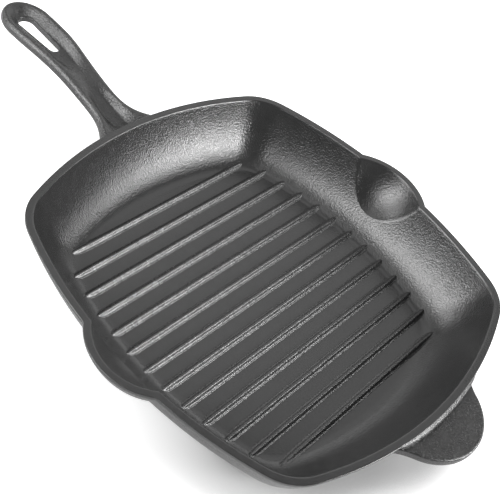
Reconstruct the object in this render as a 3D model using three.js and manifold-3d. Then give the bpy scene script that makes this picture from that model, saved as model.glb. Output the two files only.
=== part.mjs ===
// A square cast iron griddle: a barrel-sided dish with a flat rim, a pouring lip in the middle of
// each long side, a floor with raised ridges, a long handle with a hanging slot and a short helper
// handle. Millimetres, +Z up. The origin is the centre of the flat underside. The long handle
// points along -X, the helper handle along +X, and the ridges and the lips lie along Y.

import * as THREE from 'three';
import { ConvexGeometry } from 'three/addons/geometries/ConvexGeometry.js';
import { mergeVertices } from 'three/addons/utils/BufferGeometryUtils.js';
import Module from 'manifold-3d';

const wasm = await Module();
wasm.setup();

// Dish, measured at the outer edge of the rim
const RIM_LENGTH = 270;
const RIM_WIDTH = 257.6;
const SIDE_RADIUS = 289;
const END_RADIUS = 240;
const CORNER_RADIUS = 35;
const PAN_HEIGHT = 43.5;
const FLOOR_THICKNESS = 4.3;
const RIM_LAND = 4.6;
const WALL_RUN = 31.4;
const WALL_SWEEP = THREE.MathUtils.degToRad(40);
const FLOOR_CORNER_RADIUS = 10;

// Pouring lips: round bowls pressed out of the side walls
const LIP_RADIUS = 41.7;
const LIP_OVERHANG = 10.3;
const LIP_DEPTH = 29.5;
const LIP_SWEEP = THREE.MathUtils.degToRad(65);
const LIP_SHOULDER = 2;

// Ridges
const RIDGE_PITCH = 15.1;
const RIDGE_HEIGHT = 2.8;
const RIDGE_CREST = 1.3;
const RIDGE_BASE = 4.6;
const RIDGE_TAPER = 7;
const RIDGE_TIP_INSET = 28.8;
const RIDGE_TIP_HEIGHT = 0.7;
const RIDGE_FLOOR_MARGIN = 3;

// Long handle
const HANDLE_REACH = 129.2;
const HANDLE_ROOT_WIDTH = 53.5;
const HANDLE_WAIST_WIDTH = 24.8;
const HANDLE_WAIST_REACH = 31;
const HANDLE_GRIP_WIDTH = 34;
const HANDLE_GRIP_REACH = 107;
const HANDLE_TIP_FLAT = 6;
const HANDLE_THICKNESS = 9;
const HANDLE_ROOT_DROP = 7.6;
const HANDLE_TIP_RISE = 4.3;
const HANDLE_RISE_START = 4.5;
const HANDLE_RISE_END = 86;
const HANDLE_RAIL = 6.5;
const HANDLE_TROUGH = 4.6;
const HANDLE_EMBED = 16;
const SLOT_LENGTH = 39.5;
const SLOT_WIDTH = 11;
const SLOT_NECK = 7.6;
const SLOT_MARGIN = 13.5;

// Helper handle
const HELPER_REACH = 25.4;
const HELPER_RADIUS = 35.3;
const HELPER_ROOT_WIDTH = 75.6;
const HELPER_NECK_WIDTH = 64.7;
const HELPER_THICKNESS = 5.4;
const HELPER_EDGE = 1.4;
const HELPER_DROP = 5.2;
const HELPER_EMBED = 10;

// Clearance left wherever two features of the casting meet
const SEAM_GAP = 0.3;
// How far a cutting solid runs past what it cuts
const OVERCUT = 20;

// Facets: steps on each arc of a quarter outline, on a wall's curve, round a lip, along the handle
// and on each arc of the handle's section
const END_STEPS = 4;
const CORNER_STEPS = 5;
const SIDE_STEPS = 5;
const WALL_STEPS = 7;
const LIP_STEPS = 40;
const HANDLE_STATIONS = 9;
const GRIP_STATIONS = 6;
const SECTION_STEPS = 3;
const SLOT_STEPS = 8;
const HELPER_STEPS = 20;
const HELPER_EDGE_STEPS = 2;

const FLOOR_INSET = RIM_LAND + WALL_RUN;
const LIP_CENTRE = RIM_WIDTH / 2 + LIP_OVERHANG - LIP_RADIUS;

// Curves of the inside surfaces: how far each runs out, how high it climbs, and the share of a
// quarter ellipse that it sweeps
const DISH_CURVE = { run: WALL_RUN, rise: PAN_HEIGHT - FLOOR_THICKNESS, sweep: WALL_SWEEP };
const LIP_CURVE = { run: LIP_RADIUS - RIM_LAND, rise: LIP_DEPTH, sweep: LIP_SWEEP };

const WELD_DISTANCE = 1e-5;
const IRON = { color: 0x3b3b3c, roughness: 0.55, metalness: 0.75 };

// Solids: closed meshes joined and cut as manifolds

function toSolid(geometry) {
  const bare = geometry.clone();
  for (const name of Object.keys(bare.attributes)) {
    if (name !== 'position') bare.deleteAttribute(name);
  }
  const welded = mergeVertices(bare, WELD_DISTANCE);
  return new wasm.Manifold(new wasm.Mesh({
    numProp: 3,
    vertProperties: new Float32Array(welded.attributes.position.array),
    triVerts: new Uint32Array(welded.index.array),
  }));
}

function toGeometry(solid) {
  const { vertProperties, triVerts, numProp } = solid.getMesh();
  const positions = new Float32Array((vertProperties.length / numProp) * 3);
  for (let i = 0; i < positions.length / 3; i += 1) {
    positions.set(vertProperties.slice(i * numProp, i * numProp + 3), i * 3);
  }
  const geometry = new THREE.BufferGeometry();
  geometry.setAttribute('position', new THREE.BufferAttribute(positions, 3));
  geometry.setIndex(Array.from(triVerts));
  geometry.computeVertexNormals();
  return geometry;
}

// Skins a stack of closed rings that have as many points each. A looped stack joins its last ring
// to its first, and any other is capped by fans at both ends.
function skin(rings, looped) {
  const count = rings[0].length;
  const positions = rings.flat().flatMap((point) => [point.x, point.y, point.z]);
  const faces = [];
  const bands = looped ? rings.length : rings.length - 1;
  for (let k = 0; k < bands; k += 1) {
    const low = k * count;
    const high = ((k + 1) % rings.length) * count;
    for (let j = 0; j < count; j += 1) {
      const next = (j + 1) % count;
      faces.push(low + j, low + next, high + next, low + j, high + next, high + j);
    }
  }
  if (!looped) {
    const top = (rings.length - 1) * count;
    for (let j = 1; j < count - 1; j += 1) {
      faces.push(0, j + 1, j, top, top + j, top + j + 1);
    }
  }
  const geometry = new THREE.BufferGeometry();
  geometry.setAttribute('position', new THREE.Float32BufferAttribute(positions, 3));
  geometry.setIndex(faces);
  return geometry;
}

function box(minimum, maximum) {
  const size = maximum.clone().sub(minimum);
  const middle = maximum.clone().add(minimum).multiplyScalar(0.5);
  return new THREE.BoxGeometry(size.x, size.y, size.z).translate(middle.x, middle.y, middle.z);
}

// Dish outline: two shallow side arcs and two shallow end arcs joined by round corners

function arcPoints(centre, radius, start, end, steps) {
  return Array.from({ length: steps }, (_, i) => {
    const angle = start + ((end - start) * i) / steps;
    return new THREE.Vector2(centre.x + radius * Math.cos(angle), centre.y + radius * Math.sin(angle));
  });
}

function cornerCentre(side, sideRadius, end, endRadius) {
  const across = end.clone().sub(side);
  const distance = across.length();
  const along = (sideRadius ** 2 - endRadius ** 2 + distance ** 2) / (2 * distance);
  const rise = Math.sqrt(sideRadius ** 2 - along ** 2);
  const unit = across.divideScalar(distance);
  const normal = new THREE.Vector2(unit.y, -unit.x);
  return side.clone().addScaledVector(unit, along).addScaledVector(normal, rise);
}

// One quarter of the outline, from +X round to +Y, moved in from the rim's outer edge
function quarterOutline(inset) {
  const corner = THREE.MathUtils.lerp(CORNER_RADIUS, FLOOR_CORNER_RADIUS, inset / FLOOR_INSET);
  const sideRadius = SIDE_RADIUS - inset;
  const endRadius = END_RADIUS - inset;
  const side = new THREE.Vector2(0, RIM_WIDTH / 2 - SIDE_RADIUS);
  const end = new THREE.Vector2(RIM_LENGTH / 2 - END_RADIUS, 0);
  const centre = cornerCentre(side, sideRadius - corner, end, endRadius - corner);
  const endAngle = Math.atan2(centre.y - end.y, centre.x - end.x);
  const sideAngle = Math.atan2(centre.y - side.y, centre.x - side.x);
  return [
    ...arcPoints(end, endRadius, 0, endAngle, END_STEPS),
    ...arcPoints(centre, corner, endAngle, sideAngle, CORNER_STEPS),
    ...arcPoints(side, sideRadius, sideAngle, Math.PI / 2, SIDE_STEPS),
    new THREE.Vector2(0, RIM_WIDTH / 2 - inset),
  ];
}

// The whole outline, anticlockwise from +X
function outline(inset) {
  const quarter = quarterOutline(inset);
  const back = quarter.slice().reverse();
  const turns = [[quarter, 1, 1], [back, -1, 1], [quarter, -1, -1], [back, 1, -1]];
  return turns.flatMap(([points, x, y]) => (
    points.slice(0, -1).map((p) => new THREE.Vector2(x * p.x, y * p.y))
  ));
}

function ring(inset, height) {
  return outline(inset).map((p) => new THREE.Vector3(p.x, p.y, height));
}

// Half the outline's width where it crosses a line of constant x
function halfWidthAt(x, inset) {
  const points = quarterOutline(inset);
  const i = points.findIndex((p) => p.x <= x);
  const [outer, inner] = [points[i - 1], points[i]];
  return THREE.MathUtils.mapLinear(x, outer.x, inner.x, outer.y, inner.y);
}

// Wall sections: the inside is part of an ellipse that leaves its foot flat and reaches the rim
// steeply, and the outside follows it at the casting's thickness. Each point is a distance out from
// the foot and a height above it.

function steepness(curve, angle) {
  const run = (curve.run * Math.cos(angle)) / Math.sin(curve.sweep);
  const rise = (curve.rise * Math.sin(angle)) / (1 - Math.cos(curve.sweep));
  return Math.atan2(rise, run);
}

function innerPoint(curve, angle) {
  const out = (curve.run * Math.sin(angle)) / Math.sin(curve.sweep);
  const up = (curve.rise * (1 - Math.cos(angle))) / (1 - Math.cos(curve.sweep));
  return new THREE.Vector2(out, up);
}

function outerPoint(curve, angle) {
  const slope = steepness(curve, angle);
  const rimThickness = RIM_LAND / Math.sin(steepness(curve, curve.sweep));
  const thickness = THREE.MathUtils.lerp(FLOOR_THICKNESS, rimThickness, angle / curve.sweep);
  const point = innerPoint(curve, angle);
  return new THREE.Vector2(
    point.x + thickness * Math.sin(slope),
    point.y - thickness * Math.cos(slope),
  );
}

function curvePoints(curve, pointAt) {
  return Array.from({ length: WALL_STEPS + 1 }, (_, i) => (
    pointAt(curve, (curve.sweep * i) / WALL_STEPS)
  ));
}

function dishRing(point) {
  return ring(FLOOR_INSET - point.x, FLOOR_THICKNESS + point.y);
}

// Height of the inside surface above the floor, at an inset that lies on the wall's curve
function wallHeightAt(inset) {
  const share = ((FLOOR_INSET - inset) * Math.sin(WALL_SWEEP)) / WALL_RUN;
  return innerPoint(DISH_CURVE, Math.asin(share)).y;
}

function wallRing(lift) {
  const inner = curvePoints(DISH_CURVE, innerPoint).map(dishRing);
  const outer = curvePoints(DISH_CURVE, outerPoint).map(dishRing);
  const rings = [...outer, ring(0, PAN_HEIGHT), ...inner.reverse()];
  return skin(rings, true).translate(0, 0, lift);
}

function cavity() {
  const rings = curvePoints(DISH_CURVE, innerPoint).map(dishRing);
  return skin([...rings, ring(RIM_LAND, PAN_HEIGHT + OVERCUT)], false);
}

// What lies inside the dish's outer face, grown by a clearance
function envelope(clearance) {
  const grown = curvePoints(DISH_CURVE, outerPoint).map((p) => new THREE.Vector2(p.x + clearance, p.y));
  const foot = ring(FLOOR_INSET - clearance, -OVERCUT);
  const head = ring(-clearance, PAN_HEIGHT + OVERCUT);
  return skin([foot, ...grown.map(dishRing), head], false);
}

// A lip's bowl, filled and carried on past the rim: round rings under the middle of a side
function lipBowl(pointAt, side) {
  const points = curvePoints(LIP_CURVE, pointAt).slice(1);
  const top = points.at(-1);
  const past = new THREE.Vector2(top.x, top.y + OVERCUT);
  const rings = [...points, past].map((p) => Array.from({ length: LIP_STEPS }, (_, i) => {
    const angle = (2 * Math.PI * i) / LIP_STEPS;
    const y = side * LIP_CENTRE + p.x * Math.sin(angle);
    return new THREE.Vector3(p.x * Math.cos(angle), y, PAN_HEIGHT - LIP_DEPTH + p.y);
  }));
  return toSolid(skin(rings, false));
}

// Dish: the wall with both lips pressed out of it, open over the floor plate
function dish() {
  const above = box(
    new THREE.Vector3(-RIM_LENGTH, -RIM_WIDTH, PAN_HEIGHT),
    new THREE.Vector3(RIM_LENGTH, RIM_WIDTH, PAN_HEIGHT + OVERCUT),
  );
  const plate = skin([ring(FLOOR_INSET, -OVERCUT), ring(FLOOR_INSET, FLOOR_THICKNESS)], false);
  let solid = toSolid(wallRing(0));
  for (const side of [-1, 1]) solid = solid.add(lipBowl(outerPoint, side));
  for (const cutter of [above, cavity(), plate]) solid = solid.subtract(toSolid(cutter));
  for (const side of [-1, 1]) solid = solid.subtract(lipBowl(innerPoint, side));
  return solid;
}

// Where a lip's outer edge runs into the side of the rim, as a distance from the middle of the side
function lipHalfSpan() {
  const sideCentre = RIM_WIDTH / 2 - SIDE_RADIUS;
  const apart = LIP_CENTRE - sideCentre;
  const along = (apart ** 2 + SIDE_RADIUS ** 2 - LIP_RADIUS ** 2) / (2 * apart);
  return Math.sqrt(SIDE_RADIUS ** 2 - along ** 2) + LIP_SHOULDER;
}

function slice(minX, maxX, minY, maxY) {
  return toSolid(box(
    new THREE.Vector3(minX, minY, -OVERCUT),
    new THREE.Vector3(maxX, maxY, PAN_HEIGHT + OVERCUT),
  ));
}

function floorPlate() {
  const shape = new THREE.Shape(outline(FLOOR_INSET + SEAM_GAP));
  return new THREE.ExtrudeGeometry(shape, { depth: FLOOR_THICKNESS, bevelEnabled: false });
}

// Ridges: tapered bars on the floor whose pointed ends run a little way up the wall. Each is made
// about its own middle, standing on the floor.
function ridge(x) {
  const half = halfWidthAt(Math.abs(x), RIDGE_TIP_INSET);
  const shoulder = half - RIDGE_TAPER;
  const tip = wallHeightAt(RIDGE_TIP_INSET) + RIDGE_TIP_HEIGHT;
  const points = [];
  for (const end of [-1, 1]) {
    points.push(new THREE.Vector3(0, end * half, 0), new THREE.Vector3(0, end * half, tip));
    for (const flank of [-1, 1]) {
      points.push(new THREE.Vector3((flank * RIDGE_BASE) / 2, end * shoulder, 0));
      points.push(new THREE.Vector3((flank * RIDGE_CREST) / 2, end * shoulder, RIDGE_HEIGHT));
    }
  }
  const bar = toSolid(new ConvexGeometry(points));
  const wall = wallRing(SEAM_GAP).translate(-x, 0, -FLOOR_THICKNESS);
  return toGeometry(bar.subtract(toSolid(wall)));
}

function ridgesPerSide() {
  const room = RIM_LENGTH / 2 - FLOOR_INSET - RIDGE_FLOOR_MARGIN;
  return Math.floor(room / RIDGE_PITCH);
}

// Long handle: sections lofted along the reach, dished on top between two rails. It is made from
// the middle of the rim's edge, in the rim's plane.

function handleHeight(reach) {
  const share = THREE.MathUtils.smoothstep(reach, HANDLE_RISE_START, HANDLE_RISE_END);
  return THREE.MathUtils.lerp(-HANDLE_ROOT_DROP, HANDLE_TIP_RISE, share);
}

// Half widths along the reach: flared at the root, narrow at the waist, swelling to the grip and
// rounded off to a blunt tip
function handlePlan() {
  const root = new THREE.Vector2(-HANDLE_EMBED, HANDLE_ROOT_WIDTH / 2);
  const waist = new THREE.Vector2(HANDLE_WAIST_REACH, HANDLE_WAIST_WIDTH / 2);
  const grip = new THREE.Vector2(HANDLE_GRIP_REACH, HANDLE_GRIP_WIDTH / 2);
  const flare = new THREE.CubicBezierCurve(
    root,
    new THREE.Vector2(HANDLE_EMBED / 2, root.y),
    new THREE.Vector2(HANDLE_EMBED / 4, waist.y),
    waist,
  );
  const middle = (waist.x + grip.x) / 2;
  const swell = new THREE.CubicBezierCurve(
    waist,
    new THREE.Vector2(middle, waist.y),
    new THREE.Vector2(middle, grip.y),
    grip,
  );
  const last = Math.acos(HANDLE_TIP_FLAT / HANDLE_GRIP_WIDTH);
  const tip = Array.from({ length: GRIP_STATIONS }, (_, i) => {
    const angle = (last * (i + 1)) / GRIP_STATIONS;
    const share = Math.sin(angle) / Math.sin(last);
    return new THREE.Vector2(
      THREE.MathUtils.lerp(grip.x, HANDLE_REACH, share),
      grip.y * Math.cos(angle),
    );
  });
  return [...flare.getPoints(HANDLE_STATIONS).slice(0, -1), ...swell.getPoints(HANDLE_STATIONS), ...tip];
}

// Section across the handle, anticlockwise seen from the tip: a rounded underside, two round rails
// and the trough between them
function handleSection(reach, halfWidth) {
  const deep = HANDLE_THICKNESS / 2;
  const rail = Math.min(HANDLE_RAIL, halfWidth / 2);
  const trough = (HANDLE_TROUGH * rail) / HANDLE_RAIL;
  const crest = halfWidth - rail / 2;
  const under = [];
  const over = [];
  const inside = [];
  for (let i = 0; i <= SECTION_STEPS; i += 1) {
    const share = i / SECTION_STEPS;
    const angle = (Math.PI / 2) * share;
    const fall = trough * THREE.MathUtils.smoothstep(share, 0, 1);
    under.push([halfWidth - rail * (1 - Math.sin(angle)), -deep * Math.cos(angle)]);
    over.push([crest + (rail / 2) * Math.cos(angle), deep * Math.sin(angle)]);
    inside.push([crest - rail * share, deep - fall]);
  }
  const half = [...under, ...over.slice(1), ...inside.slice(1)];
  const mirrored = half.slice().reverse().map(([y, z]) => [-y, z]);
  const height = handleHeight(reach);
  return [...half, ...mirrored].map(([y, z]) => new THREE.Vector3(-reach, -y, height + z));
}

// The hanging slot, wider at the tip than towards the root
function slotCutter() {
  const far = HANDLE_REACH - SLOT_MARGIN - SLOT_WIDTH / 2;
  const near = far - SLOT_LENGTH + (SLOT_WIDTH + SLOT_NECK) / 2;
  const turn = Math.acos((SLOT_WIDTH - SLOT_NECK) / 2 / (far - near));
  const shape = new THREE.Shape();
  shape.absarc(-near, 0, SLOT_NECK / 2, -turn, turn, false);
  shape.absarc(-far, 0, SLOT_WIDTH / 2, turn, 2 * Math.PI - turn, false);
  const depth = 2 * (HANDLE_THICKNESS + OVERCUT);
  const settings = { depth, bevelEnabled: false, curveSegments: SLOT_STEPS };
  return new THREE.ExtrudeGeometry(shape, settings).translate(0, 0, -depth / 2);
}

function longHandle() {
  const bar = toSolid(skin(handlePlan().map((p) => handleSection(p.x, p.y)), false));
  const body = envelope(SEAM_GAP).translate(RIM_LENGTH / 2, 0, -PAN_HEIGHT);
  return toGeometry(bar.subtract(toSolid(slotCutter())).subtract(toSolid(body)));
}

// Helper handle: a flat round tab with an eased edge and a flared root, made like the long handle
// from the middle of the rim's other edge

function helperHandle() {
  const centre = HELPER_REACH - HELPER_RADIUS;
  const round = HELPER_RADIUS - HELPER_EDGE;
  const neck = HELPER_NECK_WIDTH / 2 - HELPER_EDGE;
  const root = HELPER_ROOT_WIDTH / 2 - HELPER_EDGE;
  const angle = Math.asin(neck / round);
  const neckX = centre + round * Math.cos(angle);
  const shape = new THREE.Shape();
  shape.moveTo(-HELPER_EMBED, -root);
  shape.quadraticCurveTo(0, -root, neckX, -neck);
  shape.absarc(centre, 0, round, -angle, angle, false);
  shape.quadraticCurveTo(0, root, -HELPER_EMBED, root);
  shape.closePath();
  const plate = new THREE.ExtrudeGeometry(shape, {
    depth: HELPER_THICKNESS - 2 * HELPER_EDGE,
    bevelSize: HELPER_EDGE,
    bevelThickness: HELPER_EDGE,
    bevelSegments: HELPER_EDGE_STEPS,
    curveSegments: HELPER_STEPS,
  }).translate(0, 0, HELPER_EDGE - HELPER_DROP - HELPER_THICKNESS);
  const body = envelope(SEAM_GAP).translate(-RIM_LENGTH / 2, 0, -PAN_HEIGHT);
  return toGeometry(toSolid(plate).subtract(toSolid(body)));
}

const griddle = new THREE.Group();

function place(name, geometry, x, z) {
  const mesh = new THREE.Mesh(geometry, new THREE.MeshStandardMaterial(IRON));
  mesh.name = name;
  mesh.position.set(x, 0, z);
  griddle.add(mesh);
}

const wall = dish();
const span = lipHalfSpan();
const cut = span + SEAM_GAP;
const pieces = {
  handle_end_wall: slice(-RIM_LENGTH, -cut, -RIM_WIDTH, RIM_WIDTH),
  helper_end_wall: slice(cut, RIM_LENGTH, -RIM_WIDTH, RIM_WIDTH),
  left_pouring_lip: slice(-span, span, 0, RIM_WIDTH),
  right_pouring_lip: slice(-span, span, -RIM_WIDTH, 0),
};
place('pan_floor', floorPlate(), 0, 0);
for (const [name, part] of Object.entries(pieces)) place(name, toGeometry(wall.intersect(part)), 0, 0);

const perSide = ridgesPerSide();
for (let i = -perSide; i <= perSide; i += 1) {
  const number = String(i + perSide + 1).padStart(2, '0');
  place(`ridge_${number}`, ridge(i * RIDGE_PITCH), i * RIDGE_PITCH, FLOOR_THICKNESS);
}
place('long_handle', longHandle(), -RIM_LENGTH / 2, PAN_HEIGHT);
place('helper_handle', helperHandle(), RIM_LENGTH / 2, PAN_HEIGHT);

export default griddle;
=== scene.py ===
"""Dresses a square cast iron griddle: a smooth casting over its solids, an iron finish and a studio."""

import logging
import math
from bisect import bisect_left
from dataclasses import dataclass, field
from enum import Enum
from typing import Callable, Sequence

import bmesh
import bpy
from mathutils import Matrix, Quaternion, Vector
from mathutils.geometry import interpolate_bezier
from mathutils.kdtree import KDTree


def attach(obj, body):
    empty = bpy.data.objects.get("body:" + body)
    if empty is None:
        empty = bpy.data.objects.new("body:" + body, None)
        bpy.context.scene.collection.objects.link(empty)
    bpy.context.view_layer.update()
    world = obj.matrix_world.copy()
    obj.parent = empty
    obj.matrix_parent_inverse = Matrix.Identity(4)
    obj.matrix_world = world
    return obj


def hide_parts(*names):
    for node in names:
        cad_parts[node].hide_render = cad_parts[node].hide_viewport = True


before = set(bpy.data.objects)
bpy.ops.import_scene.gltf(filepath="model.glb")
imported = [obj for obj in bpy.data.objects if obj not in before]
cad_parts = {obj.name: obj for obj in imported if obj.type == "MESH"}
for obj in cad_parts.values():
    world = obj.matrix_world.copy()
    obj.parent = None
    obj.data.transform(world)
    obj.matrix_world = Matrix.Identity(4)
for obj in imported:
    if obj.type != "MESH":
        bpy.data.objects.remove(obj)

LOG = logging.getLogger("griddle")
MM = 0.001
BODY = "root"
WELD = 1e-6
CREASE = math.radians(50)
SMOOTH = {".interpolation_type": "SMOOTHSTEP"}

Ring = list[Vector]


class Side(Enum):
    """The two long sides, as seen by someone who holds the long handle."""

    LEFT = 1
    RIGHT = -1


class Face(Enum):
    """The two faces of the dish's wall."""

    INNER = "inner"
    OUTER = "outer"


def srgb(code: str) -> tuple[float, float, float, float]:
    """Turns an sRGB hex colour to linear.

    Args:
        code: Six hex digits.

    Returns:
        Linear red, green and blue, and an alpha of 1.
    """
    parts = [int(code[i:i + 2], 16) / 255 for i in (0, 2, 4)]
    linear = [p / 12.92 if p <= 0.04045 else ((p + 0.055) / 1.055) ** 2.4 for p in parts]
    return (*linear, 1.0)


def add_node(
    tree: bpy.types.NodeTree, kind: str, settings: dict | None = None, **links: bpy.types.NodeSocket,
) -> bpy.types.Node:
    """Adds a node, sets it up and links it.

    Args:
        tree: The node tree that gets the node.
        kind: The node's type name.
        settings: Values by socket name or number, or by attribute name with a leading dot.
        **links: Output sockets by the name or number of the input that each goes to, with _ for a space
            and before a number.

    Returns:
        The new node.
    """
    node = tree.nodes.new(kind)
    for key, value in (settings or {}).items():
        if isinstance(key, str) and key.startswith("."):
            setattr(node, key[1:], value)
        else:
            node.inputs[key].default_value = value
    for key, socket in links.items():
        name = key.replace("_", " ").strip()
        tree.links.new(socket, node.inputs[int(name) if name.isdigit() else name])
    return node


def empty_tree(owner: bpy.types.Material | bpy.types.World) -> bpy.types.NodeTree:
    """Turns on the nodes of a material or a world and clears them.

    Args:
        owner: The material or the world.

    Returns:
        Its empty node tree.
    """
    owner.use_nodes = True
    owner.node_tree.nodes.clear()
    return owner.node_tree


@dataclass(frozen=True)
class SeasonedIron:
    """Sand-cast grey iron under baked-on oil.

    The sand leaves a pebbled skin that glints in many small points, a ground floor and rim are far
    smoother, and the oil burns to a near-black satin film over the metal.
    """

    name: str
    dark: str = "5c" * 3
    light: str = "66" * 3
    metallic: float = 0.7
    roughness: tuple[float, float] = (0.16, 0.24)
    grain_mm: float = 1.1
    grain_height_mm: float = 0.31
    mottle_mm: float = 6.0
    ground: float = 1.0
    cast_from_mm: tuple[float, float] = (4.4, 6.5)
    cast_to_mm: tuple[float, float] = (42.6, 43.3)

    def relief(self, tree: bpy.types.NodeTree, place: bpy.types.NodeSocket) -> bpy.types.NodeSocket:
        """Adds the nodes that say how strong the grain is, which falls to ground at the floor and the rim.

        Args:
            tree: The material's node tree.
            place: The object coordinates.

        Returns:
            The grain's strength.
        """
        height = add_node(tree, "ShaderNodeSeparateXYZ", Vector=place).outputs["Z"]
        ramps = ((self.cast_from_mm, self.ground, 1.0), (self.cast_to_mm, 1.0, self.ground))
        shares = []
        for (start, end), first, last in ramps:
            limits = {"From Min": start * MM, "From Max": end * MM, "To Min": first, "To Max": last}
            share = add_node(tree, "ShaderNodeMapRange", {**SMOOTH, **limits}, Value=height)
            shares.append(share.outputs["Result"])
        weaker = add_node(tree, "ShaderNodeMath", {".operation": "MINIMUM"}, _0=shares[0], _1=shares[1])
        return weaker.outputs["Value"]

    def material(self) -> bpy.types.Material:
        """Builds the material.

        Returns:
            The finished material.
        """
        made = bpy.data.materials.new(self.name)
        tree = empty_tree(made)
        place = add_node(tree, "ShaderNodeTexCoord").outputs["Object"]
        # Moulding sand is about 0.3 mm; drawn three to four times as coarse, so that it shows in the render
        grain = add_node(
            tree, "ShaderNodeTexNoise",
            {"Scale": 1 / (self.grain_mm * MM), "Detail": 2.0, "Roughness": 0.6}, Vector=place,
        ).outputs["Fac"]
        # Oil bakes on in patches of some 6 mm, which change the colour and the gloss a little
        mottle = add_node(
            tree, "ShaderNodeTexNoise", {"Scale": 1 / (self.mottle_mm * MM), "Detail": 3.0}, Vector=place,
        ).outputs["Fac"]
        strength = {"Strength": self.relief(tree, place)} if self.ground < 1 else {}
        bump = add_node(
            tree, "ShaderNodeBump", {"Strength": 1.0, "Distance": self.grain_height_mm * MM},
            Height=grain, **strength,
        ).outputs["Normal"]
        low, high = self.roughness
        gloss = add_node(
            tree, "ShaderNodeMapRange",
            {"From Min": 0.3, "From Max": 0.7, "To Min": low, "To Max": high}, Value=mottle,
        ).outputs["Result"]
        colour = add_node(tree, "ShaderNodeValToRGB", Fac=mottle)
        for stop, code in zip(colour.color_ramp.elements, (self.dark, self.light)):
            stop.color = srgb(code)
        shader = add_node(
            tree, "ShaderNodeBsdfPrincipled", {"Metallic": self.metallic},
            Base_Color=colour.outputs["Color"], Roughness=gloss, Normal=bump,
        ).outputs["BSDF"]
        add_node(tree, "ShaderNodeOutputMaterial", Surface=shader)
        return made


class Loft:
    """A skin that grows ring by ring, by extruding its last edge loop."""

    def __init__(self, first: Ring) -> None:
        """Starts from a circle that is pulled to the first ring.

        Args:
            first: The first ring's points, in metres.
        """
        self.bm = bmesh.new()
        made = bmesh.ops.create_circle(self.bm, segments=len(first), radius=1.0)
        self.verts: list[bmesh.types.BMVert] = made["verts"]
        self.edges: list[bmesh.types.BMEdge] = list(self.bm.edges)
        self._settle(first)

    def _settle(self, ring: Ring) -> None:
        """Moves the last loop's vertices to the points of a ring."""
        for vert, point in zip(self.verts, ring):
            vert.co = point

    def grow(self, ring: Ring) -> None:
        """Extrudes the last loop to a new ring.

        Args:
            ring: As many points as the first ring has.
        """
        made = bmesh.ops.extrude_edge_only(self.bm, edges=self.edges)["geom"]
        fresh = {g for g in made if isinstance(g, bmesh.types.BMVert)}
        self.verts = [
            next(e.other_vert(v) for e in v.link_edges if e.other_vert(v) in fresh) for v in self.verts
        ]
        self.edges = [
            g for g in made if isinstance(g, bmesh.types.BMEdge) and all(v in fresh for v in g.verts)
        ]
        self._settle(ring)

    def cap(self) -> None:
        """Closes the last loop with one face."""
        bmesh.ops.edgeloop_fill(self.bm, edges=self.edges)

    @classmethod
    def through(cls, rings: Sequence[Ring], capped: bool = True) -> bmesh.types.BMesh:
        """Skins a row of rings and closes both ends.

        Args:
            rings: Rings that have as many points each.
            capped: Whether the ends are flat faces, and not rings that shrink to a point.

        Returns:
            The closed mesh, with its faces pointing out.
        """
        loft = cls(rings[0])
        if capped:
            loft.cap()
        for ring in rings[1:]:
            loft.grow(ring)
        if capped:
            loft.cap()
        return sealed(loft.bm)


def sealed(bm: bmesh.types.BMesh) -> bmesh.types.BMesh:
    """Merges a mesh's doubles and turns its faces outwards.

    Args:
        bm: The mesh.

    Returns:
        The same mesh.
    """
    bmesh.ops.remove_doubles(bm, verts=bm.verts, dist=WELD)
    bmesh.ops.recalc_face_normals(bm, faces=bm.faces)
    return bm


def show(name: str, bm: bmesh.types.BMesh) -> bpy.types.Object:
    """Makes a smooth-shaded object of a mesh, at the origin.

    Args:
        name: The object's name.
        bm: The mesh, which is freed.

    Returns:
        The new object.
    """
    mesh = bpy.data.meshes.new(name)
    bm.to_mesh(mesh)
    bm.free()
    mesh.shade_smooth()
    made = bpy.data.objects.new(name, mesh)
    bpy.context.scene.collection.objects.link(made)
    return made


def cast(piece: bpy.types.Object, iron: bpy.types.Material, *nodes: str) -> None:
    """Gives a piece its iron and puts it in the place of its solids.

    Args:
        piece: The piece.
        iron: Its material.
        *nodes: The solids that it stands for.
    """
    piece.data.materials.clear()
    piece.data.materials.append(iron)
    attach(piece, BODY)
    if nodes:
        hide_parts(*nodes)
    LOG.info("%s: %d faces for %s", piece.name, len(piece.data.polygons), ", ".join(nodes) or "no solid")


def arc(centre: Vector, radius: float, start: float, end: float, steps: int) -> list[Vector]:
    """Points along an arc in plan, without its last one.

    Args:
        centre: The arc's centre.
        radius: The arc's radius.
        start: The first angle.
        end: The last angle.
        steps: How many points.

    Returns:
        The points.
    """
    angles = [start + (end - start) * i / steps for i in range(steps)]
    return [centre + radius * Vector((math.cos(a), math.sin(a))) for a in angles]


def bend(start: tuple, corner: tuple, end: tuple, steps: int) -> list[tuple[float, float]]:
    """Points on a rounded corner between two ends, both included.

    Args:
        start: Where the rounding starts.
        corner: The sharp corner that is rounded off.
        end: Where the rounding ends.
        steps: How many spans.

    Returns:
        The points.
    """
    points = []
    for i in range(steps + 1):
        t = i / steps
        weights = ((1 - t) ** 2, 2 * t * (1 - t), t * t)
        points.append(tuple(sum(w * p[k] for w, p in zip(weights, (start, corner, end))) for k in (0, 1)))
    return points


def solve(function: Callable[[float], float], low: float, high: float) -> float:
    """Finds where a rising function crosses zero.

    Args:
        function: The function.
        low: Where it is below zero.
        high: Where it is above zero.

    Returns:
        The crossing.
    """
    for _ in range(50):
        middle = (low + high) / 2
        if function(middle) < 0:
            low = middle
        else:
            high = middle
    return (low + high) / 2


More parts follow.
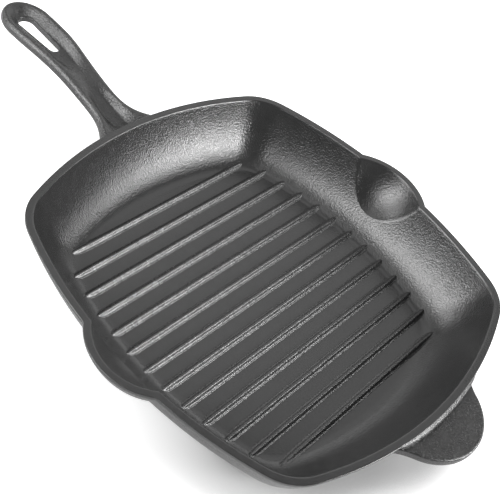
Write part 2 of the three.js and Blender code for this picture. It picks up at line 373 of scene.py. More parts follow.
@dataclass(frozen=True)
class WallCurve:
    """A wall's section: part of an ellipse inside, flat at its foot, and the casting's thickness."""

    run: float
    rise: float
    sweep: float
    foot: float
    land: float

    def slope(self, angle: float) -> float:
        """Works out how steep the inside is.

        Args:
            angle: An angle of the ellipse.

        Returns:
            The inside's angle to the floor there.
        """
        run = self.run * math.cos(angle) / math.sin(self.sweep)
        rise = self.rise * math.sin(angle) / (1 - math.cos(self.sweep))
        return math.atan2(rise, run)

    def inner(self, angle: float) -> tuple[float, float]:
        """Distance out from the foot and height above it, on the inside."""
        out = self.run * math.sin(angle) / math.sin(self.sweep)
        return out, self.rise * (1 - math.cos(angle)) / (1 - math.cos(self.sweep))

    def outer(self, angle: float) -> tuple[float, float]:
        """Finds a point on the outside.

        Args:
            angle: An angle of the ellipse.

        Returns:
            Distance out from the foot and height above it.
        """
        slope = self.slope(angle)
        rim = self.land / math.sin(self.slope(self.sweep))
        thickness = self.foot + (rim - self.foot) * angle / self.sweep
        out, up = self.inner(angle)
        return out + thickness * math.sin(slope), up - thickness * math.cos(slope)

    def inner_out(self, height: float) -> float:
        """How far out the inside lies at a height above the foot."""
        share = 1 - max(height, 0.0) * (1 - math.cos(self.sweep)) / self.rise
        return self.inner(math.acos(max(-1.0, share)))[0]

    def outer_out(self, height: float) -> float:
        """Works out how far out the outside lies.

        Args:
            height: A height above the foot.

        Returns:
            The distance out from the foot, or 0 below the outside.
        """
        if height <= -self.foot:
            return 0.0
        angle = solve(lambda a: self.outer(a)[1] - height, 0.0, self.sweep)
        return self.outer(angle)[0]


@dataclass
class Dish:
    """The floor, the curved walls, the rim and both pouring lips, in millimetres."""

    length: float = 270.0
    width: float = 257.6
    side_radius: float = 289.0
    end_radius: float = 240.0
    corner_radius: float = 35.0
    floor_corner_radius: float = 20.0
    height: float = 43.5
    floor: float = 4.3
    land: float = 4.6
    wall_run: float = 31.4
    wall_sweep: float = math.radians(40)
    lip_radius: float = 41.7
    lip_overhang: float = 10.3
    lip_depth: float = 29.5
    lip_sweep: float = math.radians(65)
    edge: float = 0.9
    outer_edge: float = 0.4
    steps: dict[str, int] = field(default_factory=lambda: {
        "end": 20, "corner": 14, "side": 30, "lip": 20, "wall": 30, "fillet": 18, "edge": 4,
    })

    def __post_init__(self) -> None:
        """Works out the sections and where the lips lie."""
        self.foot_inset = self.land + self.wall_run
        self.lip_centre = self.width / 2 + self.lip_overhang - self.lip_radius
        self.wall = WallCurve(
            self.wall_run, self.height - self.floor, self.wall_sweep, self.floor, self.land,
        )
        self.lip = WallCurve(
            self.lip_radius - self.land, self.lip_depth, self.lip_sweep, self.floor, self.land,
        )

    def corner(self, inset: float) -> tuple[Vector, float, Vector, float, Vector, float]:
        """The three arcs of a quarter outline.

        Args:
            inset: How far the outline lies in from the rim's outer edge.

        Returns:
            Centre and radius of the end, corner and side arcs.
        """
        share = min(inset, self.foot_inset) / self.foot_inset
        radius = self.corner_radius + (self.floor_corner_radius - self.corner_radius) * share
        side_radius, end_radius = self.side_radius - inset, self.end_radius - inset
        side = Vector((0.0, self.width / 2 - self.side_radius))
        end = Vector((self.length / 2 - self.end_radius, 0.0))
        across = end - side
        near, far = side_radius - radius, end_radius - radius
        along = (near ** 2 - far ** 2 + across.length_squared) / (2 * across.length)
        unit = across.normalized()
        normal = Vector((unit.y, -unit.x))
        centre = side + unit * along + normal * math.sqrt(near ** 2 - along ** 2)
        return end, end_radius, centre, radius, side, side_radius

    def ring(self, inset: float, lip: float, height: float) -> Ring:
        """A level outline of the dish, bulged by the lips.

        Args:
            inset: How far it lies in from the rim's outer edge.
            lip: The lips' radius at this level, or 0 where there is no lip.
            height: Its height.

        Returns:
            The outline's points, anticlockwise from the helper handle's end.
        """
        end, end_radius, centre, radius, side, side_radius = self.corner(inset)
        end_angle = math.atan2(centre.y - end.y, centre.x - end.x)
        side_angle = math.atan2(centre.y - side.y, centre.x - side.x)
        apart = self.lip_centre - side.y
        if lip + apart > side_radius:
            along = (side_radius ** 2 - lip ** 2 + apart ** 2) / (2 * apart)
            cusp = Vector((math.sqrt(max(side_radius ** 2 - along ** 2, 0.0)), side.y + along))
            middle = Vector((0.0, self.lip_centre))
            top = Vector((0.0, self.lip_centre + lip))
        else:
            cusp = top = Vector((0.0, side.y + side_radius))
            middle, lip = top, 0.0
        cusp_angle = math.atan2(cusp.y - side.y, cusp.x)
        lip_angle = math.atan2(cusp.y - middle.y, cusp.x - middle.x) if lip else math.pi / 2
        steps = self.steps
        quarter = [
            *arc(end, end_radius, 0.0, end_angle, steps["end"]),
            *arc(centre, radius, end_angle, side_angle, steps["corner"]),
            *arc(side, side_radius, side_angle, cusp_angle, steps["side"]),
            *arc(middle, lip, lip_angle, math.pi / 2, steps["lip"]),
            top,
        ]
        back = quarter[::-1]
        turns = ((quarter, 1, 1), (back, -1, 1), (quarter, -1, -1), (back, 1, -1))
        return [Vector((x * p.x, y * p.y, height)) * MM for row, x, y in turns for p in row[:-1]]

    def level(self, height: float, face: Face) -> tuple[float, float]:
        """Where a face of the dish lies at a height.

        Args:
            height: The height above the underside.
            face: Which face of the wall.

        Returns:
            The wall's inset and the lips' radius there.
        """
        at = height - self.floor
        lip_at = height - (self.height - self.lip_depth)
        if face is Face.OUTER:
            return self.foot_inset - self.wall.outer_out(at), self.lip.outer_out(lip_at)
        lip = self.lip.inner_out(lip_at) if lip_at > 0 else 0.0
        return self.foot_inset - self.wall.inner_out(at), lip

    def level_ring(self, height: float, face: Face) -> Ring:
        """The outline of a face at a height."""
        inset, lip = self.level(height, face)
        return self.ring(inset, lip, height)

    def lip_foot(self, face: Face) -> float:
        """Finds where a lip runs out into the wall, at the middle of a side.

        Args:
            face: Which face of the wall.

        Returns:
            The height above the underside.
        """
        def proud(height: float) -> float:
            """How far a lip stands out from the wall at a height."""
            inset, lip = self.level(height, face)
            return lip + self.lip_centre + inset - self.width / 2
        return solve(proud, self.height - self.lip_depth - self.floor, self.height - self.floor)

    def heights(self, top: float, bottom: float, face: Face) -> list[float]:
        """Levels for a face's rings, close together where the lips run out and near the floor.

        Args:
            top: The highest level.
            bottom: The lowest level.
            face: Which face of the wall.

        Returns:
            The levels, from low to high.
        """
        foot = self.lip_foot(face)
        low, high = self.steps["fillet"], self.steps["wall"]
        under = [bottom + (foot - bottom) * (i / low) ** 2 for i in range(low)]
        over = [foot + (top - foot) * (i / high) ** 2 for i in range(high + 1)]
        return under + over

    def rings(self) -> list[Ring]:
        """All the dish's rings: up the inside, over the rim and down the outside.

        Returns:
            The rings in that order.
        """
        steps, land, edge, outer = self.steps["edge"], self.land, self.edge, self.outer_edge
        top = self.height - edge
        inner_inset, _ = self.level(top, Face.INNER)
        inner_edge = bend((inner_inset, -edge), (land, 0.0), (land - edge, 0.0), steps)
        outer_edge = bend((outer, 0.0), (0.0, 0.0), (0.0, -outer), steps)
        # Two more rings keep the land flat between its rounded edges
        support = edge / 4
        flat = [(land - edge - support, 0.0), (outer + support, 0.0)]
        rim = [*inner_edge, *flat, *outer_edge]
        inside = self.heights(top, self.floor, Face.INNER)
        shoulder = self.floor + self.wall.outer(self.wall.sweep)[1]
        outside = self.heights(shoulder, 0.0, Face.OUTER)
        return [
            *(self.level_ring(h, Face.INNER) for h in inside[:-1]),
            *(self.ring(inset, self.lip_radius - inset, self.height + z) for inset, z in rim),
            *(self.level_ring(h, Face.OUTER) for h in reversed(outside)),
        ]

    def inside_by(self, x: float, y: float, inset: float) -> float:
        """Works out how far a point lies inside an outline of the dish.

        Args:
            x: The point's place along the dish.
            y: The point's place across it.
            inset: How far the outline lies in from the rim's outer edge.

        Returns:
            The distance, below 0 outside the outline.
        """
        end, end_radius, centre, radius, side, side_radius = self.corner(inset)
        p = Vector((abs(x), abs(y)))
        at_end, at_side = p - end, p - side
        turn = (centre - end).cross(at_end) > 0 and (centre - side).cross(at_side) < 0
        if turn:
            return radius - (p - centre).length
        return min(end_radius - at_end.length, side_radius - at_side.length)

    def height_at(self, x: float, y: float) -> float:
        """Finds the height of the inside, without the lips.

        Args:
            x: A place along the dish.
            y: A place across it.

        Returns:
            The height above the underside.
        """
        if self.inside_by(x, y, self.foot_inset) >= 0:
            return self.floor
        inset = solve(lambda i: -self.inside_by(x, y, i), self.land, self.foot_inset)
        share = (self.foot_inset - inset) * math.sin(self.wall.sweep) / self.wall.run
        return self.floor + self.wall.inner(math.asin(min(share, 1.0)))[1]

    def half_width_at(self, x: float, inset: float) -> float:
        """Half the width of an outline at a distance along the dish."""
        return solve(lambda y: -self.inside_by(x, y, inset), 0.0, self.width)

    def build(self, iron: bpy.types.Material) -> None:
        """Makes the dish and dresses it.

        Args:
            iron: Its material.
        """
        piece = show("dish", Loft.through(self.rings()))
        lips = [f"{side.name.lower()}_pouring_lip" for side in Side]
        cast(piece, iron, "pan_floor", "handle_end_wall", "helper_end_wall", *lips)


@dataclass
class Ridges:
    """The raised ridges on the floor, in millimetres."""

    dish: Dish
    count: int = 13
    pitch: float = 15.1
    height: float = 2.4
    crest: float = 1.35
    base: float = 3.9
    fillet: float = 1.1
    taper: float = 16.0
    nose: float = 3.0
    tip_inset: float = 28.8
    bed: float = 0.4
    crest_round: float = 0.6
    round_steps: tuple[int, int] = (4, 5)
    stations: int = 28
    straight: int = 8

    def section(self) -> list[tuple[float, float]]:
        """Draws half a section of a ridge.

        Returns:
            Points from the foot up to the crest: distance from the middle, and height.
        """
        foot = self.base / 2
        shoulder = self.crest / 2
        low_steps, top_steps = self.round_steps
        lean = (foot - shoulder) / self.height
        rise = self.crest * self.crest_round
        climb = (foot - lean * self.fillet, self.fillet)
        low = bend((foot + self.fillet, 0.0), (foot, 0.0), climb, low_steps)
        turn = (shoulder + lean * rise, self.height - rise)
        top = bend(turn, (shoulder, self.height), (0.0, self.height), top_steps)
        return [(foot + self.fillet, -self.bed), *low, *top]

    def ring(self, x: float, y: float, tip: float) -> Ring:
        """A section of a ridge, whose level crest the wall swallows towards its tips.

        Args:
            x: The ridge's place along the dish.
            y: The section's place along the ridge.
            tip: How far the section is from the nearer tip.

        Returns:
            The section's points.
        """
        away = max(1 - tip / self.nose, 0.0)
        proud = self.dish.floor + self.height - self.dish.height_at(x, y)
        share = max(proud / self.height, 0.0) * math.sqrt(1 - away * away)
        wide = math.sqrt(share)
        half = self.section()
        sides = [(1, half), (-1, half[-2::-1])]
        points = []
        for flank, row in sides:
            for u, v in row:
                along = x + flank * u * wide
                points.append(Vector((along, y, self.dish.height_at(along, y) + v * share)) * MM)
        return points

    def build(self, iron: bpy.types.Material) -> None:
        """Makes every ridge and dresses it.

        Args:
            iron: Their material.
        """
        for i in range(self.count):
            x = (i - (self.count - 1) / 2) * self.pitch
            half = self.dish.half_width_at(x, self.tip_inset)
            shoulder = half - self.taper
            ends = [self.taper * (k / self.stations) ** 2 for k in range(self.stations)]
            middle = [shoulder - 2 * shoulder * k / self.straight for k in range(self.straight + 1)]
            rows = [*((half - t, t) for t in ends), *((y, half - abs(y)) for y in middle)]
            rows += [(t - half, t) for t in reversed(ends)]
            rings = [self.ring(x, y, tip) for y, tip in rows]
            name = f"ridge_{i + 1:02d}"
            cast(show(f"{name}_bar", Loft.through(rings, capped=False)), iron, name)


@dataclass
class LongHandle:
    """The long handle with its rails, trough and slot, in millimetres from the rim's edge."""

    dish: Dish
    reach: float = 129.2
    root_width: float = 53.5
    waist_width: float = 24.8
    waist_reach: float = 31.0
    grip_width: float = 34.0
    grip_reach: float = 107.0
    embed: float = 16.0
    thickness: float = 9.0
    root_drop: float = 7.6
    tip_rise: float = 4.3
    rise: tuple[float, float] = (4.5, 86.0)
    rail: float = 6.5
    trough: float = 5.0
    trough_floor: float = 5.4
    trough_rounds: tuple[float, float] = (0.35, 0.15)
    pinch_reach: tuple[float, float] = (47.0, 28.0)
    pinch_floor: float = 4.9
    pinch_depth: float = 3.4
    slot_length: float = 39.5
    slot_width: float = 11.0
    slot_neck: float = 7.6
    slot_margin: float = 13.5
    slot_edge: float = 0.8
    start: float = -5.2
    fillet: float = 10.0
    fillet_top: float = -1.0
    under_fillet: tuple[float, float] = (12.0, 3.0)
    root_zone: float = 14.0
    columns: int = 48
    plan_steps: tuple[int, int, int] = (1600, 2000, 1200)
    plan_gap: float = 0.02
    station_steps: tuple[int, int, int] = (36, 76, 26)
    slot_steps: int = 24
    edge_steps: int = 4

    def __post_init__(self) -> None:
        """Draws the plan outline and the stations along the reach."""
        root = Vector((-self.embed, self.root_width / 2))
        waist = Vector((self.waist_reach, self.waist_width / 2))
        grip = Vector((self.grip_reach, self.grip_width / 2))
        middle = (waist.x + grip.x) / 2
        flare_steps, swell_steps, tip_steps = self.plan_steps
        flare = interpolate_bezier(
            root, Vector((self.embed / 2, root.y)), Vector((self.embed / 4, waist.y)), waist, flare_steps,
        )
        swell = interpolate_bezier(
            waist, Vector((middle, waist.y)), Vector((middle, grip.y)), grip, swell_steps,
        )
        self.plan = [*flare, *swell[1:]]
        tip = self.reach - self.grip_reach
        rounds = [math.pi / 2 * i / tip_steps for i in range(1, tip_steps + 1)]
        self.plan += [Vector((grip.x + tip * math.sin(a), grip.y * math.cos(a))) for a in rounds]
        self.edge = KDTree(2 * len(self.plan))
        for side in Side:
            for p in self.plan:
                self.edge.insert((p.x, side.value * p.y, 0.0), 0)
        self.edge.balance()
        close, far = self.root_zone, self.grip_reach
        near_steps, far_steps, end_steps = self.station_steps
        self.stations = [self.start + (close - self.start) * i / near_steps for i in range(near_steps)]
        self.stations += [close + (far - close) * i / far_steps for i in range(far_steps)]
        self.stations += [far + tip * math.sin(math.pi / 2 * i / end_steps) for i in range(end_steps + 1)]

    def half_width(self, reach: float) -> float:
        """Reads the plan's width.

        Args:
            reach: A distance along the reach.

        Returns:
            Half the width there.
        """
        after = min(max(bisect_left(self.plan, reach, key=lambda p: p.x), 1), len(self.plan) - 1)
        a, b = self.plan[after - 1], self.plan[after]
        return max(a.y + (b.y - a.y) * (reach - a.x) / max(b.x - a.x, WELD), 0.0)

    def centre(self, reach: float) -> float:
        """Works out how the handle dips and rises.

        Args:
            reach: A distance along the reach.

        Returns:
            Height of the section's middle over the rim's plane.
        """
        start, end = self.rise
        t = min(max((reach - start) / (end - start), 0.0), 1.0)
        return -self.root_drop + (self.root_drop + self.tip_rise) * t * t * (3 - 2 * t)

    def fill(self, reach: float, y: float, length: float) -> float:
        """Works out how far a fillet to the wall has climbed.

        Args:
            reach: A distance along the reach.
            y: A place across the handle.
            length: How far the fillet reaches from the rim's edge.

        Returns:
            A share, from 0 at the fillet's foot to 1 at the wall.
        """
        away = reach + y * y / (2 * self.dish.end_radius)
        share = min(max((length - away) / length, 0.0), 1.0)
        return 1 - math.sqrt(1 - share * share)

    def depth(self, reach: float, y: float) -> float:
        """How far a point lies in from the plan's edge, less the spacing of the edge's points."""
        return max(self.edge.find((reach, y, 0.0))[2] - self.plan_gap, 0.0)

    def pinch(self, reach: float) -> float:
        """Works out how far the trough is drawn in at the waist.

        Args:
            reach: A distance along the reach.

        Returns:
            A share, from 0 at the ends of the drawn-in stretch to 1 at its middle.
        """
        middle, span = self.pinch_reach
        share = min(abs(reach - middle) / span, 1.0)
        return (1 + math.cos(math.pi * share)) / 2

    def flank(self, share: float) -> float:
        """Draws the trough's flank: a ramp, rounded at both ends.

        Args:
            share: How far across the flank, from 0 at the rail to 1 at the floor.

        Returns:
            How far down, from 0 to 1.
        """
        top, foot = self.trough_rounds
        steep = 1 / (1 - top / 2 - foot / 2)
        if share < top:
            return steep * share * share / (2 * top)
        if share > 1 - foot:
            return 1 - steep * (1 - share) ** 2 / (2 * foot)
        return steep * (share - top / 2)

    def top(self, reach: float, y: float) -> float:
        """Finds the upper face: a rounded rail along the edge and the trough inside it.

        Args:
            reach: A distance along the reach.
            y: A place across the handle.

        Returns:
            The face's height over the rim's plane.
        """
        deep = self.thickness / 2
        half = self.rail / 2
        distance = self.depth(reach, y)
        if distance < half:
            up = deep * math.sqrt(max(1 - (1 - distance / half) ** 2, 0.0))
        else:
            pinch = self.pinch(reach)
            floor = self.trough_floor - self.pinch_floor * pinch
            run = self.half_width(min(reach, self.grip_reach)) - half - floor
            t = min((distance - half) / max(run, half), 1.0)
            up = deep - (self.trough - self.pinch_depth * pinch) * self.flank(t)
        height = self.centre(reach) + up
        lift = max(self.fillet_top - height, 0.0) * self.fill(reach, y, self.fillet)
        return height + lift * min(distance / half, 1.0)

    def under(self, reach: float, y: float) -> float:
        """Finds the lower face, rounded at its edges.

        Args:
            reach: A distance along the reach.
            y: A place across the handle.

        Returns:
            The face's height over the rim's plane.
        """
        distance = min(self.depth(reach, y), self.rail)
        down = self.thickness / 2 * math.sqrt(max(1 - (1 - distance / self.rail) ** 2, 0.0))
        length, drop = self.under_fillet
        fillet = drop * self.fill(reach, y, length) * min(distance / self.rail, 1.0)
        return self.centre(reach) - down - fillet

    def ring(self, reach: float) -> Ring:
        """A section across the handle.

        Args:
            reach: The section's distance along the reach.

        Returns:
            The section's points: over the upper face and back under the lower one.
        """
        width = self.half_width(reach)
        steps = [math.pi * (i / self.columns - 0.5) for i in range(self.columns + 1)]
        over = [(width * math.sin(a), self.top) for a in steps]
        below = [(y, self.under) for y, _ in over[-2:0:-1]]
        x, base = -self.dish.length / 2 - reach, self.dish.height
        return [Vector((x, y, base + face(reach, y))) * MM for y, face in over + below]

    def slot_ring(self, grow: float, height: float) -> Ring:
        """A level ring of the slot's cutter.

        Args:
            grow: How far it lies outside the slot.
            height: Its height over the rim's plane.

        Returns:
            The ring's points.
        """
        wide, neck = self.slot_width / 2, self.slot_neck / 2
        far = self.reach - self.slot_margin - wide
        near = far - self.slot_length + wide + neck
        turn = math.acos((wide - neck) / (far - near))
        ends = [
            *arc(Vector((-near, 0.0)), neck + grow, -turn, turn, self.slot_steps),
            *arc(Vector((-far, 0.0)), wide + grow, turn, 2 * math.pi - turn, self.slot_steps),
        ]
        at = self.dish.height + height
        return [Vector((p.x - self.dish.length / 2, p.y, at)) * MM for p in ends]

    def cutter(self) -> bpy.types.Object:
        """Makes the solid that cuts the slot, flared to round its edges.

        Returns:
            The cutter, which is no part of the handle.
        """
        deep = self.thickness / 2
        web_top = self.tip_rise + deep - self.trough
        web_under = self.tip_rise - deep
        edge = self.slot_edge
        over = bend((0.0, web_top - edge), (0.0, web_top), (edge, web_top), self.edge_steps)
        below = [(g, web_under + (web_top - z)) for g, z in over]
        profile = [(edge, web_under - deep), *reversed(below), *over, (edge, web_top + deep)]
        return show("slot_cutter", Loft.through([self.slot_ring(g, z) for g, z in profile]))

    def cut_slot(self, piece: bpy.types.Object) -> None:
        """Cuts the slot through the handle.

        Args:
            piece: The handle.
        """
        cutter = self.cutter()
        cut = piece.modifiers.new("slot", "BOOLEAN")
        cut.operation = "DIFFERENCE"
        cut.solver = "EXACT"
        cut.object = cutter
        graph = bpy.context.evaluated_depsgraph_get()
        made = bpy.data.meshes.new_from_object(piece.evaluated_get(graph))
        piece.modifiers.clear()
        piece.data = made
        made.shade_smooth()
        made.set_sharp_from_angle(angle=CREASE)
        bpy.data.objects.remove(cutter)

    def build(self, iron: bpy.types.Material) -> None:
        """Makes the handle, cuts its slot and dresses it.

        Args:
            iron: Its material.
        """
        piece = show("handle_bar", Loft.through([self.ring(r) for r in self.stations]))
        self.cut_slot(piece)
        cast(piece, iron, "long_handle")


@dataclass
class HelperHandle:
    """The short helper handle, a round tab, in millimetres from the rim's edge."""

    dish: Dish
    reach: float = 25.4
    radius: float = 35.3
    neck_width: float = 63.2
    flare: tuple[float, float] = (4.5, 6.9)
    thickness: float = 5.4
    edge: float = 1.4
    drop: float = 5.2
    embed: float = 5.5
    strip_width: float = 82.0
    strip_top: tuple[float, float] = (-0.3, -0.2)
    strip_foot: tuple[float, float] = (1.3, -1.55)
    strip_round: float = 0.6
    strip_bed: float = 1.2
    steps: dict[str, int] = field(default_factory=lambda: {
        "neck": 10, "tab": 64, "bed": 24, "edge": 5, "knee": 5, "strip": 96,
    })

    def ring(self, inset: float, height: float) -> Ring:
        """A level outline of the tab.

        Args:
            inset: How far it lies in from the tab's edge.
            height: Its height over the rim's plane.

        Returns:
            The outline's points.
        """
        centre = Vector((self.reach - self.radius, 0.0))
        angle = math.asin(self.neck_width / 2 / self.radius)
        out, slant = Vector((math.cos(angle), -math.sin(angle))), Vector((1.0, -1.0)).normalized()
        neck = centre + out * self.radius
        corner = neck + Vector((out.y, -out.x)) * self.flare[1]
        root = corner + Vector((-1.0, -1.0)) * self.flare[0]
        hidden = root + Vector((-1.0, -1.0)) * self.flare[0]
        curve = bend(root - slant * inset, corner - out * inset, neck - out * inset, self.steps["neck"])
        half = [hidden, *(Vector(p) for p in curve)]
        tab = arc(centre, self.radius - inset, -angle, angle, self.steps["tab"])[1:]
        end = self.dish.end_radius - self.embed
        turn = math.asin(-half[0].y / end)
        bed = arc(Vector((-self.dish.end_radius, 0.0)), end, turn, -turn, self.steps["bed"])
        points = [*half, *tab, *(Vector((p.x, -p.y)) for p in reversed(half)), *bed[1:]]
        at = self.dish.height + height
        return [Vector((p.x + self.dish.length / 2, p.y, at)) * MM for p in points]

    def strip_ring(self, along: float) -> Ring:
        """A section of the sloped strip between the rim and the tab, which runs out at both ends.

        Args:
            along: Where it lies across the root, from -1 to 1.

        Returns:
            The section's points.
        """
        radius = self.dish.end_radius
        turn = along * math.asin(self.strip_width / 2 / radius)
        share = 1 - along ** 6
        start, (out, low), soft, bed = self.strip_top, self.strip_foot, self.strip_round, self.strip_bed
        under = -self.drop - bed
        edge = out + soft
        knee = bend((out, low), (edge, low - soft * 0.85), (edge, low - soft * 2), self.steps["knee"])
        back = start[0] - bed
        profile = [start, *knee, (out + soft * 1.5, under), (back, under), (back, start[1] - bed)]
        points = []
        for away, up in profile:
            reach = radius + start[0] + (away - start[0]) * share
            height = self.dish.height + start[1] + (up - start[1]) * share
            x = self.dish.length / 2 - radius + reach * math.cos(turn)
            points.append(Vector((x, reach * math.sin(turn), height)) * MM)
        return points

    def build(self, iron: bpy.types.Material) -> None:
        """Makes the tab and its strip and dresses them.

        Args:
            iron: Its material.
        """
        top, bottom = -self.drop, -self.drop - self.thickness
        edge = self.edge
        over = bend((0.0, top - edge), (0.0, top), (edge, top), self.steps["edge"])
        below = [(inset, bottom + top - z) for inset, z in over]
        # Two more rings on each face keep it flat inside its rounded edge
        insets = (edge * 1.3, edge * 3)
        flat = [(inset, top) for inset in insets]
        base = [(inset, bottom) for inset in reversed(insets)]
        profile = [*base, *reversed(below), *over, *flat]
        rings = [self.ring(inset, z) for inset, z in profile]
        cast(show("helper_tab", Loft.through(rings)), iron, "helper_handle")
        count = self.steps["strip"]
        shares = [2 * i / count - 1 for i in range(count + 1)]
        strip = show("tab_strip", Loft.through([self.strip_ring(t) for t in shares], capped=False))
        strip.data.set_sharp_from_angle(angle=CREASE)
        cast(strip, iron)


@dataclass(frozen=True)
class Softbox:
    """A studio softbox: where it stands round the object, its size in metres and its power."""

    name: str
    azimuth: float
    elevation: float
    size: tuple[float, float]
    watts: float
    distance: float = 1.1
    aim: tuple[float, float, float] = (0.0, 0.0, 0.02)

    def place(self) -> None:
        """Puts the softbox up."""
        lamp = bpy.data.lights.new(self.name, "AREA")
        lamp.shape = "RECTANGLE"
        lamp.size, lamp.size_y = self.size
        lamp.energy = self.watts
        made = bpy.data.objects.new(self.name, lamp)
        turn, lift = math.radians(self.azimuth), math.radians(self.elevation)
        back = Vector((math.cos(turn) * math.cos(lift), math.sin(turn) * math.cos(lift), math.sin(lift)))
        made.rotation_mode = "QUATERNION"
        made.rotation_quaternion = (-back).to_track_quat("-Z", "Y")
        made.location = Vector(self.aim) + back * self.distance
        bpy.context.scene.collection.objects.link(made)
        LOG.info("softbox %s", self.name)


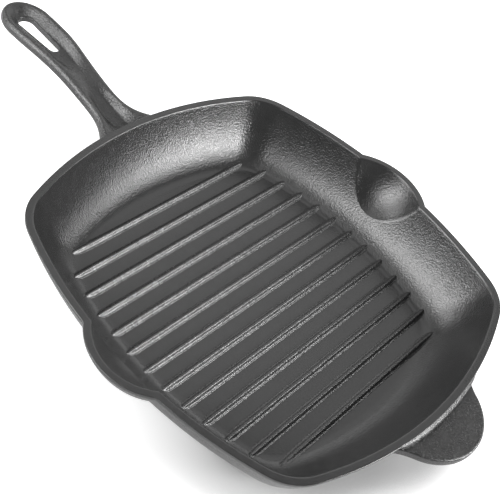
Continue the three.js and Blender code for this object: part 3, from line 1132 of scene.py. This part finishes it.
@dataclass
class Studio:
    """A white floor, soft light and the camera."""

    floor_size: float = 40.0
    floor_colour: str = "e0" * 3
    glow: float = 0.62
    glow_reach: tuple[float, float] = (0.07, 0.15)
    glow_from: tuple[float, float, float] = (0.13, -0.03, 0.0)
    shade_reach: float = 0.06
    shade_range: tuple[float, float] = (0.42, 0.82)
    glow_in_gloss: float = 0.2
    room: float = 0.05
    camera_mm: tuple[float, float, float] = (158.37, -357.77, 443.19)
    azimuth: float = math.radians(26.385)
    elevation: float = math.radians(45.648)
    roll: float = math.radians(23.299)
    lens: float = 66.105
    sensor: float = 36.0
    shift: float = -0.00216
    clip: tuple[float, float] = (0.01, 20.0)
    # Directions and powers follow the highlights and the tones of the photograph
    softboxes: tuple[Softbox, ...] = (
        Softbox("window", 19.0, 21.0, (0.30, 0.40), 8.4),
        Softbox("window_middle", 41.0, 18.0, (0.34, 0.34), 1.1),
        Softbox("window_far", 53.0, 24.0, (0.34, 0.38), 1.4),
        Softbox("window_high", 36.0, 38.0, (0.62, 0.20), 2.0),
        Softbox("front_low", 229.0, 18.0, (0.46, 0.28), 3.5),
        Softbox("front_high", 243.0, 40.0, (0.62, 0.50), 5.8),
        Softbox("left", 192.0, 30.0, (0.30, 0.30), 1.9),
        Softbox("rear", 121.0, 18.0, (1.50, 0.36), 2.0),
        Softbox("rear_high", 116.0, 46.0, (0.90, 0.60), 0.95),
        Softbox("top", 185.0, 68.0, (0.60, 0.60), 1.1),
    )

    def paper(self) -> bpy.types.Material:
        """Builds the floor's material: seamless paper with a painted glow, which whitens it and fades into a
        painted contact shade under the pan.

        Returns:
            The finished material.
        """
        made = bpy.data.materials.new("white_paper")
        tree = empty_tree(made)
        # Uncoated pressed pulp scatters light evenly and shows the lamps' real soft shadow; the glow below
        # is painted light laid over it
        matt = add_node(tree, "ShaderNodeBsdfDiffuse", {"Color": srgb(self.floor_colour)}).outputs["BSDF"]
        place = add_node(tree, "ShaderNodeTexCoord").outputs["Object"]
        # Painted glow, which lifts the floor and washes its real shadows white, except near a point beside
        # the helper end
        away = add_node(
            tree, "ShaderNodeVectorMath", {".operation": "DISTANCE", 1: self.glow_from}, _0=place,
        ).outputs["Value"]
        # Near that point ambient occlusion dims the painted glow under the pan, which paints a contact shade
        shade = add_node(tree, "ShaderNodeAmbientOcclusion", {"Distance": self.shade_reach}).outputs["AO"]
        shares = []
        for (near, far), value, most in ((self.glow_reach, away, self.glow), (self.shade_range, shade, 1.0)):
            limits = {"From Min": near, "From Max": far, "To Max": most}
            share = add_node(tree, "ShaderNodeMapRange", {**SMOOTH, **limits}, Value=value)
            shares.append(share.outputs["Result"])
        spread = add_node(
            tree, "ShaderNodeMath", {".operation": "MAXIMUM"}, _0=shares[0], _1=shares[1],
        ).outputs["Value"]
        # The camera sees all of the painted glow, reflections a fifth of it
        path = add_node(tree, "ShaderNodeLightPath").outputs
        seen = add_node(
            tree, "ShaderNodeMath", {".operation": "MULTIPLY_ADD", 1: self.glow_in_gloss},
            _0=path["Is Glossy Ray"], _2=path["Is Camera Ray"],
        ).outputs["Value"]
        level = add_node(tree, "ShaderNodeMath", {".operation": "MULTIPLY"}, _0=seen, _1=spread)
        glow = add_node(tree, "ShaderNodeEmission", Strength=level.outputs["Value"]).outputs["Emission"]
        both = add_node(tree, "ShaderNodeAddShader", _0=matt, _1=glow).outputs["Shader"]
        add_node(tree, "ShaderNodeOutputMaterial", Surface=both)
        return made

    def floor(self) -> None:
        """Lays the floor."""
        bm = bmesh.new()
        bmesh.ops.create_grid(bm, x_segments=1, y_segments=1, size=self.floor_size / 2)
        made = show("studio_floor", bm)
        made.data.materials.append(self.paper())

    def world(self) -> None:
        """Sets a dim grey room that the camera sees as white."""
        room = bpy.data.worlds.new("studio_room")
        tree = empty_tree(room)
        seen = add_node(tree, "ShaderNodeLightPath").outputs["Is Camera Ray"]
        level = add_node(
            tree, "ShaderNodeMath", {".operation": "MAXIMUM", 1: self.room}, _0=seen,
        ).outputs["Value"]
        shade = add_node(tree, "ShaderNodeBackground", {"Color": srgb("ff" * 3)}, Strength=level)
        add_node(tree, "ShaderNodeOutputWorld", Surface=shade.outputs["Background"])
        bpy.context.scene.world = room

    def camera(self) -> None:
        """Sets the camera where the photograph was taken from."""
        lens = bpy.data.cameras.new("studio_camera")
        lens.lens = self.lens
        lens.sensor_width = self.sensor
        lens.shift_y = self.shift
        lens.clip_start, lens.clip_end = self.clip
        made = bpy.data.objects.new("studio_camera", lens)
        level = math.cos(self.elevation)
        back = Vector((
            math.sin(self.azimuth) * level, -math.cos(self.azimuth) * level, math.sin(self.elevation),
        ))
        made.rotation_mode = "QUATERNION"
        turn = Quaternion((0.0, 0.0, 1.0), self.roll)
        made.rotation_quaternion = (-back).to_track_quat("-Z", "Y") @ turn
        made.location = Vector(self.camera_mm) * MM
        bpy.context.scene.collection.objects.link(made)
        bpy.context.scene.camera = made

    def build(self) -> None:
        """Sets up the whole studio."""
        self.floor()
        self.world()
        for box in self.softboxes:
            box.place()
        self.camera()
        bpy.context.scene.view_settings.view_transform = "Standard"


def main() -> None:
    """Builds the griddle and its studio."""
    logging.basicConfig(level=logging.INFO, format="%(name)s: %(message)s")
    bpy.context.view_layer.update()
    # Sand-cast, then ground at the floor and the rim: pebbled walls that glint round a smoother satin floor
    ground = SeasonedIron("ground_and_cast_iron", ground=0.3).material()
    # Sand-cast, then rubbed by turners and scrapers: a lighter copy of the iron paints brighter highlights
    # along the bars, which the duller gloss softens
    wear_and_sheen = SeasonedIron("wear_and_sheen_cast_iron", "66" * 3, "70" * 3, roughness=(0.22, 0.30)).material()
    # Sand-cast and left as it came from the mould: a coarser and duller skin on handle, tab and strip
    rough = SeasonedIron("sand_cast_iron", roughness=(0.22, 0.30), grain_height_mm=0.42).material()
    dish = Dish()
    dish.build(ground)
    Ridges(dish).build(wear_and_sheen)
    LongHandle(dish).build(rough)
    HelperHandle(dish).build(rough)
    Studio().build()


if __name__ == "__main__":
    main()
